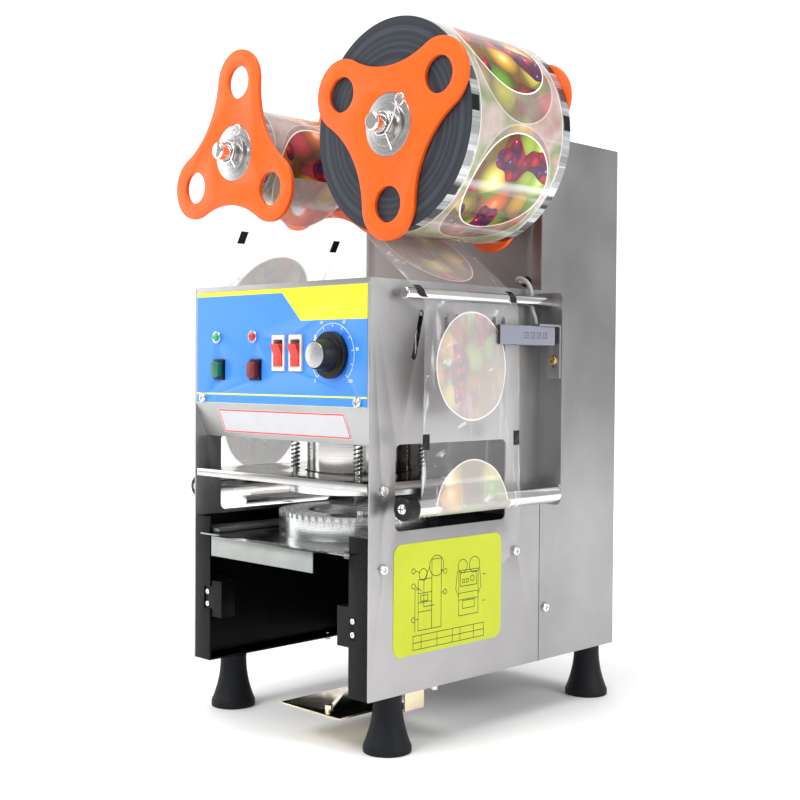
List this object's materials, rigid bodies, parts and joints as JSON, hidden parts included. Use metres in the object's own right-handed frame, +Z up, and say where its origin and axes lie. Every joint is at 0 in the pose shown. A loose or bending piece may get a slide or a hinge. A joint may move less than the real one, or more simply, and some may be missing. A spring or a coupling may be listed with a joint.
{
  "type": "cup sealing machine",
  "caption": "Desktop machine that seals film lids onto cups, with a sliding cup drawer, a heated press head, film reels above and a control panel.",
  "frame": {"origin": "under the middle of the machine, on the surface that the feet stand on", "axes": "+X to the right of a person facing the control panel, +Y from the front to the back, +Z up"},
  "size_m": [0.393, 0.37, 0.6307],
  "materials": {
    "stainless": "satin brushed",
    "dark_stainless": "satin",
    "black_frame": "semi gloss",
    "printed_label": "printed film",
    "rubber": "matt",
    "screw_steel": "bright",
    "polished_steel": "polished",
    "sensor_grey": "moulded",
    "cable_grey": "soft",
    "orange_plastic": "moulded",
    "film": "printed clear film",
    "steel": "machined",
    "motor_steel": "satin",
    "aluminium": "turned",
    "nylon": "moulded",
    "lamp": "clear",
    "black_plastic": "moulded",
    "green_button": "moulded",
    "dark_red_button": "moulded",
    "red_rocker": "moulded",
    "board": "lacquered"
  },
  "bodies": {
    "housing": {"side_panel_right": "stainless", "side_panel_left": "stainless", "bay_frames": "black_frame", "top_cover": "stainless", "control_panel": "stainless", "labels": "printed_label", "bulkhead": "dark_stainless", "column_wrap": "stainless", "rear_cover": "stainless", "base_plate": "black_frame", "feet": "rubber", "screws": "screw_steel", "loading_plate": "polished_steel", "film_brackets": "stainless", "film_rods": "polished_steel", "roller_spindles": "screw_steel", "sensor_holder": "stainless", "film_sensor": "sensor_grey", "sensor_cable": "cable_grey", "cable_grommet": "rubber", "reel_bearings": "steel", "takeup_motor": "motor_steel", "film_web": "film", "head_frame": "steel", "guide_posts": "polished_steel", "head_motor": "motor_steel", "drawer_rails": "steel", "drawer_motor": "motor_steel", "lamps": "lamp", "switch_frames": "black_plastic", "thermostat": "black_plastic", "control_board": "board", "power_inlet": "black_plastic"},
    "supply_reel": {"supply_shaft": "polished_steel", "supply_spiders": "orange_plastic", "supply_roll": "film", "supply_lock": "screw_steel"},
    "takeup_reel": {"takeup_shaft": "polished_steel", "takeup_spiders": "orange_plastic", "takeup_roll": "film", "takeup_lock": "screw_steel"},
    "roller_r": {"roller_right": "polished_steel"},
    "roller_l": {"roller_left": "polished_steel"},
    "drawer": {"drawer_tray": "polished_steel", "cup_ring": "aluminium", "drawer_rack": "nylon"},
    "pinion": {"drawer_pinion": "nylon"},
    "carriage": {"head_carriage": "aluminium", "heater": "polished_steel", "press_springs": "polished_steel"},
    "plate": {"press_plate": "polished_steel", "die_ring": "aluminium", "plate_pins": "polished_steel"},
    "crank": {"crank": "steel"},
    "button_start": {"start_button": "green_button"},
    "button_stop": {"stop_button": "dark_red_button"},
    "rocker_l": {"rocker_left": "red_rocker"},
    "rocker_r": {"rocker_right": "red_rocker"},
    "knob": {"knob": "black_plastic"}
  },
  "joints": [
    {"name": "supply_spin", "type": "hinge", "parent": "housing", "child": "supply_reel", "pos_m": [0.105, -0.0618, 0.533], "axis": [0, 1, 0], "continuous": true},
    {"name": "takeup_spin", "type": "hinge", "parent": "housing", "child": "takeup_reel", "pos_m": [-0.105, -0.0618, 0.533], "axis": [0, 1, 0], "continuous": true},
    {"name": "roller_right_spin", "type": "hinge", "parent": "housing", "child": "roller_r", "pos_m": [0.1404, -0.0618, 0.211], "axis": [0, 1, 0], "continuous": true},
    {"name": "roller_left_spin", "type": "hinge", "parent": "housing", "child": "roller_l", "pos_m": [-0.1404, -0.0618, 0.211], "axis": [0, 1, 0], "continuous": true},
    {"name": "drawer_slide", "type": "slide", "parent": "housing", "child": "drawer", "axis": [0, -1, 0], "range_m": [0, 0.15]},
    {"name": "pinion_turn", "type": "hinge", "parent": "housing", "child": "pinion", "pos_m": [0.081, -0.1148, 0.1515], "axis": [1, 0, 0], "range_deg": [0, 720]},
    {"name": "head_press", "type": "slide", "parent": "housing", "child": "carriage", "axis": [0, 0, -1], "range_m": [0, 0.018]},
    {"name": "plate_float", "type": "slide", "parent": "carriage", "child": "plate", "axis": [0, 0, 1], "range_m": [0, 0.009], "deforming": ["press_springs"]},
    {"name": "crank_turn", "type": "hinge", "parent": "housing", "child": "crank", "pos_m": [0, -0.0138, 0.3252], "axis": [0, 1, 0], "range_deg": [0, 180]},
    {"name": "start_press", "type": "slide", "parent": "housing", "child": "button_start", "axis": [0, 1, 0], "range_m": [0, 0.0015], "stiffness_N_per_m": 400, "springref_m": -0.001},
    {"name": "stop_press", "type": "slide", "parent": "housing", "child": "button_stop", "axis": [0, 1, 0], "range_m": [0, 0.0015], "stiffness_N_per_m": 400, "springref_m": -0.001},
    {"name": "left_rocker_tilt", "type": "hinge", "parent": "housing", "child": "rocker_l", "pos_m": [0.005, -0.1598, 0.34], "axis": [1, 0, 0], "range_deg": [-24, 0]},
    {"name": "right_rocker_tilt", "type": "hinge", "parent": "housing", "child": "rocker_r", "pos_m": [0.028, -0.1598, 0.34], "axis": [1, 0, 0], "range_deg": [-24, 0]},
    {"name": "knob_turn", "type": "hinge", "parent": "housing", "child": "knob", "pos_m": [0.074, -0.1638, 0.338], "axis": [0, 1, 0], "range_deg": [-60, 210]}
  ],
  "couplings": [
    {"joint": "takeup_spin", "follows": "supply_spin", "ratio": 2.0682},
    {"joint": "roller_right_spin", "follows": "supply_spin", "ratio": -11.375},
    {"joint": "roller_left_spin", "follows": "supply_spin", "ratio": -11.375},
    {"joint": "pinion_turn", "follows": "drawer_slide", "rad_per_m": 83.333},
    {"joint": "plate_float", "follows": "head_press", "ratio": 0.5},
    {"joint": "crank_turn", "follows": "head_press", "rad_per_m": 174.53}
  ]
}
